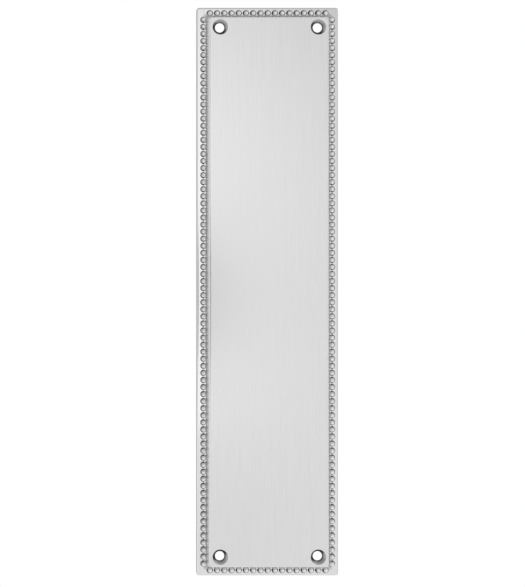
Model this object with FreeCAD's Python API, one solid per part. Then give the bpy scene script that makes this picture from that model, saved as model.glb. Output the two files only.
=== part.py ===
import FreeCAD, Part
import math
import os

# Door finger plate: one piece of pressed brass sheet, plated and brushed.
# It stands upright with +Z up its length. Its flat back is on the plane Y = 0,
# where the door is, and its face looks towards -Y. The origin is the middle of the back.
# All sizes are in millimetres and all angles in degrees.

# Outline and sheet
plate_width = 76.0
plate_length = 305.0
sheet_thickness = 1.8
outline_corner_radius = 1.4
face_edge_radius = 0.9

# Rows of beads, measured from the plate's edges in to each row's centre line
side_row_inset = 3.6
end_row_inset = 3.25

# Beads: domes that stand on the border, with the raised panel growing out of their inner side
bead_diameter = 3.1
bead_height = 1.45
side_bead_count = 78
end_bead_count = 17
row_end_gap = 3.4
bead_sides = 8
bead_shoulder_angle = 50.0
bead_root_depth = 0.6

# Raised panel, pressed out from behind; its slopes start a gap inside each row's centre line
panel_rise = 3.2
panel_slope_angle = 64.0
side_foot_gap = 1.15
end_foot_gap = 1.25
panel_corner_radius = 1.6
panel_roll_radius = 1.1
most_roll_to_corner = 1.25
least_bend_radius = 0.3
hollow_mouth_radius = 0.8

# Countersunk screw holes, measured from the plate's edges in to their centres
side_hole_inset = 11.9
end_hole_inset = 11.5
hole_diameter = 5.0
countersink_diameter = 8.2
countersink_angle = 90.0
cutter_overshoot = 0.5

# How close two points lie when they count as equally deep
depth_match = 0.000001

# Places that follow from the sizes above
half_width = plate_width / 2
half_length = plate_length / 2
face_depth = sheet_thickness + panel_rise
slope_angle = math.radians(panel_slope_angle)
run_per_depth = 1 / math.tan(slope_angle)
foot_half_width = half_width - side_row_inset - side_foot_gap
foot_half_length = half_length - end_row_inset - end_foot_gap
hole_half_spacing_across = half_width - side_hole_inset
hole_half_spacing_along = half_length - end_hole_inset


def edges_where(shape, test):
    """The shape's edges whose two ends both pass the test."""
    return [e for e in shape.Edges if all(test(v.Point) for v in e.Vertexes)]


def slanted_edges(shape):
    """The edges that run up a block's sloping corners."""
    return [
        e
        for e in shape.Edges
        if len({round(v.Point.y, 6) for v in e.Vertexes}) == 2
    ]


def at_depth(depth):
    """A test for points that lie a given depth in front of the door."""
    return lambda point: abs(point.y + depth) < depth_match


def border_plate():
    """The flat border: the whole outline, one sheet thick, with its front edge rounded over."""
    plate = Part.makeBox(
        plate_width,
        sheet_thickness,
        plate_length,
        FreeCAD.Vector(-half_width, -sheet_thickness, -half_length),
    )
    plate = plate.makeFillet(outline_corner_radius, slanted_edges(plate))
    front_rim = edges_where(plate, at_depth(sheet_thickness))
    return plate.makeFillet(face_edge_radius, front_rim)


def sloping_block(foot_width, foot_length, depth, corner_radius, roll_radius):
    """A block with sloping sides and a rolled top edge, from the door out to a depth.

    The half width and half length are given where its slopes cross the border's face.
    """
    base_grow = sheet_thickness * run_per_depth
    top_shrink = (depth - sheet_thickness) * run_per_depth
    block = Part.makeWedge(
        -foot_width + top_shrink,
        -depth,
        -foot_length + top_shrink,
        -foot_length - base_grow,
        -foot_width - base_grow,
        foot_width - top_shrink,
        0,
        foot_length - top_shrink,
        foot_length + base_grow,
        foot_width + base_grow,
    )
    block = block.makeFillet(corner_radius, slanted_edges(block))
    top_rim = edges_where(block, at_depth(depth))
    return block.makeFillet(min(roll_radius, most_roll_to_corner * corner_radius), top_rim)


def panel_block():
    """The outside of the raised panel."""
    return sloping_block(
        foot_half_width,
        foot_half_length,
        face_depth,
        panel_corner_radius,
        panel_roll_radius,
    )


def panel_hollow():
    """The hollow behind the panel, one sheet thickness inside its outside everywhere."""
    wall_run = sheet_thickness / math.sin(slope_angle)
    return sloping_block(
        foot_half_width - wall_run,
        foot_half_length - wall_run,
        panel_rise,
        max(panel_corner_radius - sheet_thickness, least_bend_radius),
        max(panel_roll_radius - sheet_thickness, least_bend_radius),
    )


def hollow_mouth(shape):
    """The edges where the hollow opens through the flat back, inside the rows of beads."""
    on_back = at_depth(0)
    reach_x = half_width - side_row_inset
    reach_z = half_length - end_row_inset
    return edges_where(
        shape, lambda p: on_back(p) and abs(p.x) < reach_x and abs(p.z) < reach_z
    )


def screw_hole(x, z):
    """A cutter for one countersunk hole, from in front of the panel to behind it."""
    hole_radius = hole_diameter / 2
    flare = math.tan(math.radians(countersink_angle / 2))
    cone_depth = (countersink_diameter / 2 - hole_radius) / flare
    outward = FreeCAD.Vector(0, -1, 0)
    cone = Part.makeCone(
        hole_radius,
        countersink_diameter / 2 + cutter_overshoot * flare,
        cone_depth + cutter_overshoot,
        FreeCAD.Vector(x, -(face_depth - cone_depth), z),
        outward,
    )
    bore = Part.makeCylinder(hole_radius, face_depth, FreeCAD.Vector(x, 0, z), outward)
    return cone.fuse(bore)


def ring(radius, depth, x, z):
    """The corners of one ring of a bead, a level polygon round the bead's axis."""
    step = 2 * math.pi / bead_sides
    return [
        FreeCAD.Vector(
            x + radius * math.cos((i + 0.5) * step),
            -depth,
            z + radius * math.sin((i + 0.5) * step),
        )
        for i in range(bead_sides)
    ]


def facet(*corners):
    """A flat face through the corners."""
    return Part.Face(Part.makePolygon([*corners, corners[0]]))


def bead(x, z):
    """One bead: a dome of two bands of facets, on a short root that is sunk in the border."""
    base_radius = bead_diameter / 2
    ball_radius = (base_radius**2 + bead_height**2) / (2 * bead_height)
    ball_depth = sheet_thickness + bead_height - ball_radius
    shoulder_angle = math.radians(bead_shoulder_angle)
    shoulder_depth = ball_depth + ball_radius * math.cos(shoulder_angle)
    top = FreeCAD.Vector(x, -sheet_thickness - bead_height, z)
    shoulder = ring(ball_radius * math.sin(shoulder_angle), shoulder_depth, x, z)
    base = ring(base_radius, sheet_thickness, x, z)
    root = ring(base_radius, sheet_thickness - bead_root_depth, x, z)
    faces = [facet(*reversed(root))]
    for i in range(bead_sides):
        j = (i + 1) % bead_sides
        faces.append(facet(top, shoulder[i], shoulder[j]))
        faces.append(facet(shoulder[i], base[i], base[j], shoulder[j]))
        faces.append(facet(base[i], root[i], root[j], base[j]))
    return Part.Solid(Part.Shell(faces))


def row_places(count, row_length):
    """Where the beads of a row lie along it, from its middle."""
    pitch = (row_length - 2 * row_end_gap) / (count - 1)
    return [(i - (count - 1) / 2) * pitch for i in range(count)]


def all_beads():
    """Every bead of the two long rows and the two short ones."""
    side_x = half_width - side_row_inset
    end_z = half_length - end_row_inset
    beads = []
    for side in (-1, 1):
        beads += [bead(side * side_x, z) for z in row_places(side_bead_count, 2 * end_z)]
        beads += [bead(x, side * end_z) for x in row_places(end_bead_count, 2 * side_x)]
    return beads


def finger_plate():
    """The whole plate as one solid."""
    body = border_plate().fuse(panel_block()).cut(panel_hollow())
    body = body.makeFillet(hollow_mouth_radius, hollow_mouth(body))
    holes = [
        screw_hole(i * hole_half_spacing_across, j * hole_half_spacing_along)
        for i in (-1, 1)
        for j in (-1, 1)
    ]
    body = body.cut(Part.makeCompound(holes))
    return body.multiFuse(all_beads())


os.makedirs("parts", exist_ok=True)
plate = finger_plate().Solids[0]
print("valid", plate.isValid(), "volume", round(plate.Volume, 1), "cubic mm")
plate.exportStep("parts/finger_plate.step")
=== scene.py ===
import math

import bmesh
import bpy
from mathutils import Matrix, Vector


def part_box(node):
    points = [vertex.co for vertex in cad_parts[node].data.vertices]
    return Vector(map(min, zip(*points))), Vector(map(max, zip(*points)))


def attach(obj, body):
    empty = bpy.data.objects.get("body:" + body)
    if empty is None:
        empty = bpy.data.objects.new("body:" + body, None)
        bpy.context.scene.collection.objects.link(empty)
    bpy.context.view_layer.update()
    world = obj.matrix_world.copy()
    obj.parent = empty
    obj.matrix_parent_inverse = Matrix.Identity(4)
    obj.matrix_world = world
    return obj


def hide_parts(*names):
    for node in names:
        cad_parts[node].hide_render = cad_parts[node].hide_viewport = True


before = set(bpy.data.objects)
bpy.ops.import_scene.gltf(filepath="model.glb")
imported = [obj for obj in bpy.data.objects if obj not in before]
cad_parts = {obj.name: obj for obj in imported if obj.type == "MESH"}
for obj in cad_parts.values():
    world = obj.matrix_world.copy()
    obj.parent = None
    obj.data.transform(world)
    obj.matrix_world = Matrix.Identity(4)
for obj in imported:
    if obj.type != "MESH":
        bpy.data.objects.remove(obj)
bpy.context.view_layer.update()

# Door finger plate: the looks of one pressed brass plate with a satin plated, brushed finish.
# It stands upright with +Z up its length, its flat back on Y = 0 and its face towards -Y.
# Lengths are in metres, built from millimetres.
mm = 0.001

# Outline and sheet, with the whole size taken from the solid plate
low_corner, high_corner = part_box("finger_plate")
half_width = (high_corner.x - low_corner.x) / 2
half_length = (high_corner.z - low_corner.z) / 2
face_depth = -low_corner.y
sheet_thickness = 1.8 * mm
outline_corner_radius = 1.4 * mm
face_edge_radius = 0.9 * mm
back_edge_radius = 0.12 * mm

# Rows of beads
side_row_inset = 3.6 * mm
end_row_inset = 3.25 * mm
bead_radius = 1.55 * mm
bead_height = 1.45 * mm
bead_flare_radius = 0.12 * mm
bead_flare_shares = (0.6, 0.25)
bead_root_depth = 0.5 * mm
side_bead_count = 78
end_bead_count = 17
row_end_gap = 3.4 * mm

# Raised panel and the hollow behind it
panel_rise = face_depth - sheet_thickness
slope_angle = math.radians(64.0)
side_foot_gap = 1.15 * mm
end_foot_gap = 1.25 * mm
foot_blend_radius = 0.45 * mm
panel_corner_radius = 1.6 * mm
panel_roll_radius = 1.1 * mm
hollow_corner_radius = 0.3 * mm
hollow_mouth_radius = 0.8 * mm

# Countersunk screw holes
side_hole_inset = 11.9 * mm
end_hole_inset = 11.5 * mm
hole_radius = 2.5 * mm
countersink_radius = 4.1 * mm
countersink_rim_radius = 0.15 * mm

# How finely round shapes are divided
corner_steps = 10
edge_steps = 6
bend_steps = 4
roll_steps = 10
rim_steps = 3
hole_steps = 72
bead_steps = 28
bead_rings = 6

# Edges that turn more than the angle stay sharp, and the weight lets large faces lead the shading
sharp_angle = math.radians(32)
large_face_weight = 100

# Places that follow from the sizes above
foot_half_width = half_width - side_row_inset - side_foot_gap
foot_half_length = half_length - end_row_inset - end_foot_gap
half_slope_tangent = math.tan(slope_angle / 2)


def rounded_outline(half_x, half_z, depth, radius):
    """The points of a rounded rectangle, a depth in front of the door."""
    points = []
    for quarter in range(4):
        side_x = (1, -1, -1, 1)[quarter]
        side_z = (1, 1, -1, -1)[quarter]
        for step in range(corner_steps + 1):
            turn = (quarter + step / corner_steps) * math.pi / 2
            x = side_x * (half_x - radius) + radius * math.cos(turn)
            z = side_z * (half_z - radius) + radius * math.sin(turn)
            points.append(Vector((x, -depth, z)))
    return points


def from_edge(inset, depth, radius):
    """An outline that follows the plate's edge, an inset inside it."""
    return rounded_outline(half_width - inset, half_length - inset, depth, radius)


def from_foot(inset, depth, radius):
    """An outline that follows the foot of the panel's slopes, an inset inside it."""
    return rounded_outline(foot_half_width - inset, foot_half_length - inset, depth, radius)


def border_outlines():
    """Outlines from the back of the plate's edge round to the front of its border."""
    outlines = [
        from_edge(back_edge_radius, 0, outline_corner_radius - back_edge_radius),
        from_edge(0, back_edge_radius, outline_corner_radius),
    ]
    for step in range(edge_steps + 1):
        turn = step / edge_steps * math.pi / 2
        inset = face_edge_radius * (1 - math.cos(turn))
        depth = sheet_thickness - face_edge_radius * (1 - math.sin(turn))
        outlines.append(from_edge(inset, depth, outline_corner_radius - inset))
    return outlines


def panel_outlines():
    """Outlines up the panel's slopes, from a soft bend at their foot to the roll onto the panel."""
    outlines = []
    blend_start = -foot_blend_radius * half_slope_tangent
    for step in range(bend_steps + 1):
        turn = step / bend_steps * slope_angle
        inset = blend_start + foot_blend_radius * math.sin(turn)
        depth = sheet_thickness + foot_blend_radius * (1 - math.cos(turn))
        outlines.append(from_foot(inset, depth, panel_corner_radius))
    top_inset = panel_rise / math.tan(slope_angle)
    roll_reach = panel_roll_radius * half_slope_tangent
    for step in range(roll_steps + 1):
        turn = (1 - step / roll_steps) * slope_angle
        inset = top_inset + roll_reach - panel_roll_radius * math.sin(turn)
        depth = face_depth - panel_roll_radius * (1 - math.cos(turn))
        radius = panel_corner_radius - roll_reach * step / roll_steps
        outlines.append(from_foot(inset, depth, radius))
    return outlines


def hollow_outlines():
    """Outlines down the hollow behind the panel, from its floor to its rolled mouth."""
    outlines = []
    wall_run = sheet_thickness / math.sin(slope_angle)
    floor_inset = wall_run + (panel_rise - sheet_thickness) / math.tan(slope_angle)
    bend_reach = hollow_corner_radius * half_slope_tangent
    for step in range(bend_steps + 1):
        turn = step / bend_steps * slope_angle
        inset = floor_inset + bend_reach - hollow_corner_radius * math.sin(turn)
        depth = panel_rise - hollow_corner_radius * (1 - math.cos(turn))
        outlines.append(from_foot(inset, depth, hollow_corner_radius))
    mouth_inset = wall_run - sheet_thickness / math.tan(slope_angle)
    mouth_reach = hollow_mouth_radius * half_slope_tangent
    for step in range(edge_steps + 1):
        turn = (1 - step / edge_steps) * slope_angle
        inset = mouth_inset - mouth_reach + hollow_mouth_radius * math.sin(turn)
        depth = hollow_mouth_radius * (1 - math.cos(turn))
        radius = hollow_corner_radius + mouth_reach * step / edge_steps
        outlines.append(from_foot(inset, depth, radius))
    return outlines


def hole_profile():
    """Radius and depth down a screw hole, from the panel's face to the hollow's floor."""
    eighth = math.pi / 4
    rim_reach = countersink_rim_radius * math.tan(eighth / 2)
    profile = []
    for step in range(rim_steps + 1):
        turn = step / rim_steps * eighth
        radius = countersink_radius + rim_reach - countersink_rim_radius * math.sin(turn)
        profile.append((radius, face_depth - countersink_rim_radius * (1 - math.cos(turn))))
    cone_depth = countersink_radius - hole_radius
    profile.append((hole_radius, face_depth - cone_depth))
    profile.append((hole_radius, panel_rise))
    return profile


def circle(centre_x, centre_z, radius, depth, steps):
    """The points of a circle round a place on the plate, a depth in front of the door."""
    points = []
    for step in range(steps):
        turn = step / steps * 2 * math.pi
        x = centre_x + radius * math.cos(turn)
        z = centre_z + radius * math.sin(turn)
        points.append(Vector((x, -depth, z)))
    return points


def add_rings(bm, rings):
    """Adds closed rings of points and the faces between neighbouring rings."""
    made = [[bm.verts.new(p) for p in ring] for ring in rings]
    for outer, inner in zip(made, made[1:]):
        count = len(outer)
        for i in range(count):
            j = (i + 1) % count
            bm.faces.new((outer[i], outer[j], inner[j], inner[i]))
    return made


def ring_edges(bm, ring):
    """The edges round one ring of corners."""
    count = len(ring)
    return [bm.edges.get((ring[i], ring[(i + 1) % count])) for i in range(count)]


def fill_between(bm, rings):
    """Fills a flat face that has the first ring as its outline and the others as holes."""
    edges = []
    for ring in rings:
        edges += ring_edges(bm, ring)
    bmesh.ops.triangle_fill(bm, edges=edges, use_beauty=True, use_dissolve=False)


def new_piece(name, bm):
    """A new object made from a finished mesh."""
    mesh = bpy.data.meshes.new(name)
    bmesh.ops.recalc_face_normals(bm, faces=bm.faces)
    bm.to_mesh(mesh)
    bm.free()
    piece = bpy.data.objects.new(name, mesh)
    bpy.context.scene.collection.objects.link(piece)
    return piece


def plate_body():
    """The plate without its beads, as one closed sheet with a pressed panel and four holes."""
    bm = bmesh.new()
    outside = add_rings(bm, border_outlines() + panel_outlines())
    inside = add_rings(bm, hollow_outlines())
    hole_tops = []
    hole_ends = []
    for side_x in (-1, 1):
        for side_z in (-1, 1):
            x = side_x * (half_width - side_hole_inset)
            z = side_z * (half_length - end_hole_inset)
            rings = [circle(x, z, r, d, hole_steps) for r, d in hole_profile()]
            made = add_rings(bm, rings)
            hole_tops.append(made[0])
            hole_ends.append(made[-1])
    fill_between(bm, [outside[-1], *hole_tops])
    fill_between(bm, [inside[0], *hole_ends])
    mouth = inside[-1]
    rim = outside[0]
    count = len(rim)
    for i in range(count):
        j = (i + 1) % count
        bm.faces.new((rim[i], rim[j], mouth[j], mouth[i]))
    return new_piece("satin_finger_plate", bm)


def bead_profile():
    """Radius and depth down a bead, from below its top to its root under the border's face."""
    ball_radius = (bead_radius**2 + bead_height**2) / (2 * bead_height)
    ball_depth = sheet_thickness + bead_height - ball_radius
    flare_height = ball_radius - bead_height + bead_flare_radius
    flare_turn = math.acos(flare_height / (ball_radius + bead_flare_radius))
    flare_centre = (ball_radius + bead_flare_radius) * math.sin(flare_turn)
    profile = []
    for step in range(1, bead_rings + 1):
        turn = step / bead_rings * flare_turn
        depth = ball_depth + ball_radius * math.cos(turn)
        profile.append((ball_radius * math.sin(turn), depth))
    for share in bead_flare_shares:
        turn = flare_turn * share
        radius = flare_centre - bead_flare_radius * math.sin(turn)
        depth = sheet_thickness + bead_flare_radius * (1 - math.cos(turn))
        profile.append((radius, depth))
    profile.append((flare_centre, sheet_thickness - bead_root_depth))
    return profile


def add_bead(bm, x, z):
    """One bead, a smooth dome with a soft flare round its foot."""
    rings = [circle(x, z, r, d, bead_steps) for r, d in bead_profile()]
    made = add_rings(bm, rings)
    top = bm.verts.new((x, -sheet_thickness - bead_height, z))
    for i in range(bead_steps):
        bm.faces.new((top, made[0][i], made[0][(i + 1) % bead_steps]))
    bm.faces.new(made[-1])


def row_places(count, row_length):
    """Where the beads of a row lie along it, from its middle."""
    pitch = (row_length - 2 * row_end_gap) / (count - 1)
    return [(i - (count - 1) / 2) * pitch for i in range(count)]


def all_beads():
    """The beads of the two long rows and the two short ones, in one mesh."""
    bm = bmesh.new()
    side_x = half_width - side_row_inset
    end_z = half_length - end_row_inset
    for side in (-1, 1):
        for z in row_places(side_bead_count, 2 * end_z):
            add_bead(bm, side * side_x, z)
        for x in row_places(end_bead_count, 2 * side_x):
            add_bead(bm, x, side * end_z)
    return new_piece("beads", bm)


def join_beads(body, beads):
    """Unites the beads with the plate's body and leaves one closed skin."""
    union = body.modifiers.new("beads", "BOOLEAN")
    union.operation = "UNION"
    union.solver = "EXACT"
    union.object = beads
    evaluated = body.evaluated_get(bpy.context.evaluated_depsgraph_get())
    joined = bpy.data.meshes.new_from_object(evaluated)
    body.modifiers.clear()
    body.data = joined
    bpy.data.objects.remove(beads)


def smooth_faces(piece):
    """Shades the skin smooth, except over its sharp edges."""
    bm = bmesh.new()
    bm.from_mesh(piece.data)
    for face in bm.faces:
        face.smooth = True
    for edge in bm.edges:
        edge.smooth = len(edge.link_faces) == 2 and edge.calc_face_angle() < sharp_angle
    bm.to_mesh(piece.data)
    bm.free()
    weights = piece.modifiers.new("even shading", "WEIGHTED_NORMAL")
    weights.keep_sharp = True
    weights.weight = large_face_weight


# How far the map of the brushing leans with depth, so that the plate's sides have a width on it
map_lean = 0.3


def brushing_map(piece):
    """A map whose first axis runs across the brushing, so that highlights spread across it."""
    layer = piece.data.uv_layers.new(name="across_brushing")
    for loop in piece.data.loops:
        p = piece.data.vertices[loop.vertex_index].co
        layer.data[loop.index].uv = (p.x + map_lean * p.y, p.z)


def link(tree, start, end):
    """Joins an output to an input."""
    tree.links.new(start, end)


def math_node(tree, operation, first, second=None, third=None, clamp=False):
    """The result of a math node whose inputs are sockets or plain values."""
    node = tree.nodes.new("ShaderNodeMath")
    node.operation = operation
    node.use_clamp = clamp
    for socket, value in zip(node.inputs, (first, second, third)):
        if value is None:
            continue
        if isinstance(value, (int, float)):
            socket.default_value = value
        else:
            link(tree, value, socket)
    return node.outputs[0]


def distance_node(tree, across, along):
    """The length of the line whose two legs are given."""
    across_square = math_node(tree, "MULTIPLY", across, across)
    along_square = math_node(tree, "MULTIPLY", along, along)
    return math_node(tree, "SQRT", math_node(tree, "ADD", across_square, along_square))


def new_group(name, values, results):
    """A shader node group that takes a position and named values and gives named results.

    Returns the group, its two end nodes and the three parts of the position.
    """
    tree = bpy.data.node_groups.new(name, "ShaderNodeTree")
    tree.interface.new_socket("Position", in_out="INPUT", socket_type="NodeSocketVector")
    for value_name, value in values:
        socket = tree.interface.new_socket(
            value_name, in_out="INPUT", socket_type="NodeSocketFloat"
        )
        socket.default_value = value
    for result_name in results:
        tree.interface.new_socket(result_name, in_out="OUTPUT", socket_type="NodeSocketFloat")
    start = tree.nodes.new("NodeGroupInput")
    end = tree.nodes.new("NodeGroupOutput")
    parts = tree.nodes.new("ShaderNodeSeparateXYZ")
    link(tree, start.outputs["Position"], parts.inputs[0])
    return tree, start, end, parts.outputs


# Brush lines: their size, how many times larger those of each set are, and their finer detail
brush_line_width = 0.3 * mm
brush_line_length = 9 * mm
brush_line_sets = (1, 4)
brush_detail = 2
brush_detail_strength = 0.6


def brushing_group():
    """Fine vertical brush lines, as a height and a soft tone that vary across the plate."""
    values = (("Line Width", brush_line_width), ("Line Length", brush_line_length))
    tree, start, end, parts = new_group("vertical_brushing", values, ("Height", "Tone"))
    across, through, upward = parts
    levels = []
    for widen in brush_line_sets:
        width = math_node(tree, "MULTIPLY", start.outputs["Line Width"], widen)
        length = math_node(tree, "MULTIPLY", start.outputs["Line Length"], widen)
        stretched = tree.nodes.new("ShaderNodeCombineXYZ")
        link(tree, math_node(tree, "DIVIDE", across, width), stretched.inputs[0])
        link(tree, math_node(tree, "DIVIDE", through, width), stretched.inputs[1])
        link(tree, math_node(tree, "DIVIDE", upward, length), stretched.inputs[2])
        noise = tree.nodes.new("ShaderNodeTexNoise")
        noise.inputs["Scale"].default_value = 1
        noise.inputs["Detail"].default_value = brush_detail
        noise.inputs["Roughness"].default_value = brush_detail_strength
        link(tree, stretched.outputs[0], noise.inputs["Vector"])
        levels.append(noise.outputs[0])
    both = math_node(tree, "ADD", levels[0], levels[1])
    link(tree, levels[0], end.inputs["Height"])
    link(tree, math_node(tree, "MULTIPLY", both, 0.5), end.inputs["Tone"])
    return tree


# Painted shade in the crevice round each bead: how far inside the bead's foot it lies,
# how far it spreads to each side of that line, and how broad its full dark is within the spread
crevice_shade_inset = 0.12 * mm
crevice_shade_width = 0.5 * mm
crevice_shade_fullness = 1.5

# The painted shade's strength on the row's centre line, and how much it gains over a bead's radius
# from there outwards. Inwards it loses as much, and is gone at the foot of the panel's slope.
crevice_shade_at_row = 0.9
crevice_shade_outward_gain = 1.2

# How far the painted shade at the corners of the panel's foot reaches
corner_shade_reach = 1.6 * mm

# A small margin in depth, so that marks cover the faces in front whole and stay off the back
mark_margin = 0.02 * mm


def crevice_shade_group():
    """Painted shade from 0 to 1 in the crevices round the beads and at the panel foot's corners.

    The shade of the side rows and of the end rows is apart. Border is 1 outside the panel's foot.
    """
    results = ("Side Crevice Shade", "End Crevice Shade", "Corner Shade", "Border")
    tree, start, end, parts = new_group("painted_crevice_shade", (("Crevice Shade Width", crevice_shade_width),), results)
    across = math_node(tree, "ABSOLUTE", parts[0])
    along = math_node(tree, "ABSOLUTE", parts[2])
    depth = math_node(tree, "MULTIPLY", parts[1], -1)
    on_front = math_node(tree, "GREATER_THAN", depth, sheet_thickness - mark_margin)
    side_x = half_width - side_row_inset
    end_z = half_length - end_row_inset
    side_places = row_places(side_bead_count, 2 * end_z)
    end_places = row_places(end_bead_count, 2 * side_x)
    for name, beside, beyond, row, places in (
        ("Side Crevice Shade", across, parts[2], side_x, side_places),
        ("End Crevice Shade", along, parts[0], end_z, end_places),
    ):
        pitch = places[1] - places[0]
        from_row = math_node(tree, "SUBTRACT", beside, row)
        from_first = math_node(tree, "SUBTRACT", beyond, places[0])
        from_nearest = math_node(tree, "WRAP", from_first, pitch / 2, -pitch / 2)
        from_bead = distance_node(tree, from_row, from_nearest)
        past_crevice = math_node(tree, "SUBTRACT", from_bead, bead_radius - crevice_shade_inset)
        from_crevice = math_node(tree, "ABSOLUTE", past_crevice)
        share = math_node(tree, "DIVIDE", from_crevice, start.outputs["Crevice Shade Width"])
        nearness = math_node(tree, "SUBTRACT", 1, share)
        ring = math_node(tree, "MULTIPLY", nearness, crevice_shade_fullness, clamp=True)
        gain = crevice_shade_outward_gain / bead_radius
        outer = math_node(tree, "MULTIPLY_ADD", from_row, gain, crevice_shade_at_row, clamp=True)
        outer_ring = math_node(tree, "MULTIPLY", ring, outer)
        row_end = places[-1] + pitch / 2
        in_row = math_node(tree, "LESS_THAN", math_node(tree, "ABSOLUTE", beyond), row_end)
        on_row = math_node(tree, "MULTIPLY", in_row, on_front)
        link(tree, math_node(tree, "MULTIPLY", outer_ring, on_row), end.inputs[name])
    from_side = math_node(tree, "SUBTRACT", across, foot_half_width)
    from_end = math_node(tree, "SUBTRACT", along, foot_half_length)
    furthest = math_node(tree, "MAXIMUM", from_side, from_end)
    link(tree, math_node(tree, "GREATER_THAN", furthest, 0), end.inputs["Border"])
    from_corner = distance_node(tree, from_side, from_end)
    corner_share = math_node(tree, "DIVIDE", from_corner, corner_shade_reach)
    corner = math_node(tree, "SUBTRACT", 1, corner_share, clamp=True)
    link(tree, math_node(tree, "MULTIPLY", corner, on_front), end.inputs["Corner Shade"])
    return tree


# How steeply the painted shade in a countersink deepens towards its bore
bore_shade_steepness = 2


def countersink_group():
    """Where the countersinks are, and how near their bores, from 0 at the rim to 1 at the bore."""
    tree, start, end, parts = new_group("countersinks", (), ("Inside", "Depth"))
    across = math_node(tree, "ABSOLUTE", parts[0])
    along = math_node(tree, "ABSOLUTE", parts[2])
    from_hole_x = math_node(tree, "SUBTRACT", across, half_width - side_hole_inset)
    from_hole_z = math_node(tree, "SUBTRACT", along, half_length - end_hole_inset)
    from_middle = distance_node(tree, from_hole_x, from_hole_z)
    depth = math_node(tree, "MULTIPLY", parts[1], -1)
    on_front = math_node(tree, "GREATER_THAN", depth, panel_rise + mark_margin)
    inside = math_node(tree, "LESS_THAN", from_middle, countersink_radius)
    link(tree, math_node(tree, "MULTIPLY", inside, on_front), end.inputs["Inside"])
    # How near the bore a place is, which the painted shade in the countersinks follows
    from_rim = math_node(tree, "SUBTRACT", countersink_radius, from_middle)
    cone_width = countersink_radius - hole_radius
    share = math_node(tree, "DIVIDE", from_rim, cone_width, clamp=True)
    deep = math_node(tree, "POWER", share, bore_shade_steepness)
    link(tree, math_node(tree, "MULTIPLY", deep, on_front), end.inputs["Depth"])
    return tree


# The plating's grey and roughness, from the darkest to the palest of the brushing's usual tones
usual_tones = (0.3, 0.7)
plating_greys = (0.64, 0.70)
plating_roughness = (0.27, 0.34)

# How far highlights spread across the brushing, and how strong and how deep its lines are
highlight_spread = 0.5
brushing_bump = 0.15
brushing_depth = 0.01 * mm

# Painted shade, as shares by which the plating is darker: round the beads, at the corners
# of the panel's foot, and in the countersinks and further down to their bores
side_crevice_shade = 0.7
end_crevice_shade = 0.95
corner_shade = 0.5
countersink_shade = 0.45
bore_shade = 0.96

# The roughness of the border and of the countersinks, as shares of the panel's
border_roughness = 0.5
countersink_roughness = 0.5


def place_group(tree, group, position):
    """A node that uses a shader node group at a position."""
    node = tree.nodes.new("ShaderNodeGroup")
    node.node_tree = group
    link(tree, position, node.inputs["Position"])
    return node


def by_tone(tree, tone, levels):
    """A level that runs between two as the brushing's tone does."""
    node = tree.nodes.new("ShaderNodeMapRange")
    node.inputs["From Min"].default_value = usual_tones[0]
    node.inputs["From Max"].default_value = usual_tones[1]
    node.inputs["To Min"].default_value = levels[0]
    node.inputs["To Max"].default_value = levels[1]
    link(tree, tone, node.inputs["Value"])
    return node.outputs[0]


def less_where(tree, level, mask, loss):
    """A level that is less by a share where the mask is 1."""
    kept = math_node(tree, "MULTIPLY_ADD", mask, -loss, 1)
    return math_node(tree, "MULTIPLY", level, kept)


def satin_plating():
    """Satin nickel over brass: a bright grey metal brushed up and down the plate."""
    material = bpy.data.materials.new("satin_plating")
    material.use_nodes = True
    tree = material.node_tree
    shader = tree.nodes["Principled BSDF"]
    shader.inputs["Metallic"].default_value = 1
    shader.inputs["Anisotropic"].default_value = highlight_spread
    tangent = tree.nodes.new("ShaderNodeTangent")
    tangent.direction_type = "UV_MAP"
    tangent.uv_map = "across_brushing"
    link(tree, tangent.outputs[0], shader.inputs["Tangent"])

    place = tree.nodes.new("ShaderNodeTexCoord").outputs["Object"]
    brushing = place_group(tree, brushing_group(), place)
    shade_and_border = place_group(tree, crevice_shade_group(), place)
    cones = place_group(tree, countersink_group(), place)

    shade = by_tone(tree, brushing.outputs["Tone"], plating_greys)
    # Painted shade in the crevices round the beads
    shade = less_where(tree, shade, shade_and_border.outputs["Side Crevice Shade"], side_crevice_shade)
    shade = less_where(tree, shade, shade_and_border.outputs["End Crevice Shade"], end_crevice_shade)
    # Painted shade at the corners of the panel's foot
    shade = less_where(tree, shade, shade_and_border.outputs["Corner Shade"], corner_shade)
    # Painted shade in the countersinks, deepening towards their bores
    shade = less_where(tree, shade, cones.outputs["Inside"], countersink_shade)
    shade = less_where(tree, shade, cones.outputs["Depth"], bore_shade)
    link(tree, shade, shader.inputs["Base Color"])

    roughness = by_tone(tree, brushing.outputs["Tone"], plating_roughness)
    roughness = less_where(tree, roughness, cones.outputs["Inside"], 1 - countersink_roughness)
    roughness = less_where(tree, roughness, shade_and_border.outputs["Border"], 1 - border_roughness)
    link(tree, roughness, shader.inputs["Roughness"])

    bump = tree.nodes.new("ShaderNodeBump")
    bump.inputs["Strength"].default_value = brushing_bump
    bump.inputs["Distance"].default_value = brushing_depth
    link(tree, brushing.outputs["Height"], bump.inputs["Height"])
    link(tree, bump.outputs[0], shader.inputs["Normal"])
    return material


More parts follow.
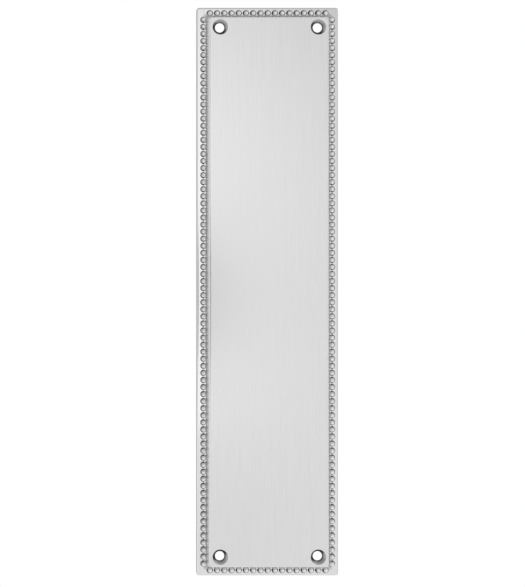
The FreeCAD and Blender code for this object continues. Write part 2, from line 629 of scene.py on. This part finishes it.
# The studio's light on each side of the plate, by its angle in degrees from straight in front.
# It is bright in front, and again at the left and right. Further back it is dark, but for a pale
# surface behind the left edge and a soft light behind the plate, which shows its back.
light_angles = (0, 10, 20, 30, 45, 60, 75, 90, 105, 120, 135, 150, 170)
right_light = (1.38, 1.4, 1.14, 0.74, 0.85, 1.15, 1.3, 0.75, 0.08, 0.03, 0.5, 0.35, 0.25)
upper_light = (1.38, 1.46, 1.31, 0.8, 0.7, 0.8, 0.88, 0.42, 0.08, 0.03, 0.4, 0.3, 0.25)
left_light = (1.38, 1.37, 1.17, 0.83, 0.6, 0.75, 1.1, 1.3, 1.3, 0.9, 0.35, 0.3, 0.25)
lower_light = (1.38, 1.45, 1.56, 1.44, 0.85, 0.65, 0.55, 0.25, 0.05, 0.03, 0.4, 0.3, 0.25)

# A ramp's colours end at 1, so they hold shares of this level
ramp_level = 2

# The least lean to the sides, so that nothing is divided by 0 straight in front and behind
least_lean = 1e-6


def light_ramp(tree, place, stops):
    """A level of light that runs through stops of place and level."""
    ramp = tree.nodes.new("ShaderNodeValToRGB")
    ramp.color_ramp.interpolation = "LINEAR"
    made = ramp.color_ramp.elements
    while len(made) < len(stops):
        made.new(0.5)
    for stop, (position, level) in zip(made, stops):
        share = level / ramp_level
        stop.position = position
        stop.color = (share, share, share, 1)
    link(tree, place, ramp.inputs[0])
    return math_node(tree, "MULTIPLY", ramp.outputs[0], ramp_level)


def studio_world():
    """The studio's light on the plate, and the plain white that the camera sees behind it.

    The light from a direction is mixed from the lights on the sides that the direction leans to.
    """
    world = bpy.data.worlds.new("studio")
    bpy.context.scene.world = world
    world.use_nodes = True
    tree = world.node_tree
    tree.nodes.clear()
    place = tree.nodes.new("ShaderNodeTexCoord")
    parts = tree.nodes.new("ShaderNodeSeparateXYZ")
    link(tree, place.outputs["Generated"], parts.inputs[0])
    across, through, upward = parts.outputs

    # From 0 straight behind the plate to 1 straight in front of it
    front = math_node(tree, "MULTIPLY_ADD", through, -0.5, 0.5)
    across_square = math_node(tree, "MULTIPLY", across, across)
    upward_square = math_node(tree, "MULTIPLY", upward, upward)
    both_squares = math_node(tree, "ADD", across_square, upward_square)
    lean = math_node(tree, "MAXIMUM", both_squares, least_lean)
    total = 0
    for axis, square, way, levels in (
        (across, across_square, 1, right_light),
        (upward, upward_square, 1, upper_light),
        (across, across_square, -1, left_light),
        (upward, upward_square, -1, lower_light),
    ):
        stops = [
            (0.5 + 0.5 * math.cos(math.radians(angle)), level)
            for angle, level in zip(light_angles, levels)
        ]
        glow = light_ramp(tree, front, sorted(stops))
        on_side = math_node(tree, "GREATER_THAN", math_node(tree, "MULTIPLY", axis, way), 0)
        share = math_node(tree, "MULTIPLY", math_node(tree, "DIVIDE", square, lean), on_side)
        total = math_node(tree, "ADD", math_node(tree, "MULTIPLY", glow, share), total)
    lit = tree.nodes.new("ShaderNodeBackground")
    link(tree, total, lit.inputs[0])

    white = tree.nodes.new("ShaderNodeBackground")
    white.inputs[0].default_value = (1, 1, 1, 1)
    path = tree.nodes.new("ShaderNodeLightPath")
    choice = tree.nodes.new("ShaderNodeMixShader")
    link(tree, path.outputs["Is Camera Ray"], choice.inputs[0])
    link(tree, lit.outputs[0], choice.inputs[1])
    link(tree, white.outputs[0], choice.inputs[2])
    end = tree.nodes.new("ShaderNodeOutputWorld")
    link(tree, choice.outputs[0], end.inputs[0])


# A plain pale floor: how far below the plate it lies, how far it reaches, and its looks
floor_drop = 90 * mm
floor_half_width = 700 * mm
floor_front = -620 * mm
floor_back = 30 * mm
floor_grey = 0.85
floor_roughness = 0.9
floor_glow = 0.59


def grey_shader(material, grey, roughness):
    """Makes a material plain grey and gives its shader."""
    material.use_nodes = True
    shader = material.node_tree.nodes["Principled BSDF"]
    shader.inputs["Base Color"].default_value = (grey, grey, grey, 1)
    shader.inputs["Roughness"].default_value = roughness
    return shader


def pale_floor():
    """A plain pale floor a little below the plate, with a soft glow of its own."""
    floor_z = -half_length - floor_drop
    corners = (
        (-floor_half_width, floor_front, floor_z),
        (floor_half_width, floor_front, floor_z),
        (floor_half_width, floor_back, floor_z),
        (-floor_half_width, floor_back, floor_z),
    )
    bm = bmesh.new()
    bm.faces.new([bm.verts.new(corner) for corner in corners])
    floor = new_piece("floor", bm)
    material = bpy.data.materials.new("pale_floor")
    shader = grey_shader(material, floor_grey, floor_roughness)
    tree = material.node_tree
    path = tree.nodes.new("ShaderNodeLightPath")
    seen = math_node(tree, "MAXIMUM", path.outputs["Is Camera Ray"], path.outputs["Is Glossy Ray"])
    shader.inputs["Emission Color"].default_value = (1, 1, 1, 1)
    link(tree, math_node(tree, "MULTIPLY", seen, floor_glow), shader.inputs["Emission Strength"])
    floor.data.materials.append(material)


# The camera stands left of the plate and a little above its middle, with the picture plane
# parallel to the plate, so its view is shifted sideways and down onto the plate. The film's
# height is in millimetres, as a lens is.
camera_distance = 350 * mm
camera_place = Vector((-103.54 * mm, -camera_distance, 22.09 * mm))
camera_shift_x = 0.32
camera_shift_y = -0.0733
picture_height = 316.63 * mm
film_height = 36
nearest_seen = 10 * mm
furthest_seen = 20000 * mm


def photo_camera():
    """The camera at the photograph's angle."""
    data = bpy.data.cameras.new("camera")
    camera = bpy.data.objects.new("camera", data)
    bpy.context.scene.collection.objects.link(camera)
    data.sensor_width = film_height
    data.lens = film_height * camera_distance / picture_height
    data.shift_x = camera_shift_x
    data.shift_y = camera_shift_y
    camera.location = camera_place
    camera.rotation_euler = (math.pi / 2, 0, 0)
    data.clip_start = nearest_seen
    data.clip_end = furthest_seen
    bpy.context.scene.camera = camera


# The dark card behind the camera: its size, and how far it is behind the camera and below it
card_half_width = 102 * mm
card_half_height = 75 * mm
card_behind = 20 * mm
card_below = 48 * mm
card_steps = 48
card_grey = 0.02
card_roughness = 0.8


def dark_card():
    """A dark oval card just behind the camera, as the camera's own body, that the metal mirrors."""
    ring = circle(0, 0, 1, camera_distance + card_behind, card_steps)
    for point in ring:
        point.x = camera_place.x + card_half_width * point.x
        point.z = camera_place.z - card_below + card_half_height * point.z
    bm = bmesh.new()
    bm.faces.new([bm.verts.new(p) for p in ring])
    card = new_piece("dark_card", bm)
    material = bpy.data.materials.new("camera_black")
    grey_shader(material, card_grey, card_roughness)
    card.data.materials.append(material)
    card.visible_camera = False


plate = plate_body()
join_beads(plate, all_beads())
smooth_faces(plate)
brushing_map(plate)
plate.data.materials.clear()
plate.data.materials.append(satin_plating())
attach(plate, "root")
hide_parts("finger_plate")
studio_world()
pale_floor()
photo_camera()
dark_card()
bpy.context.scene.view_settings.view_transform = "Standard"
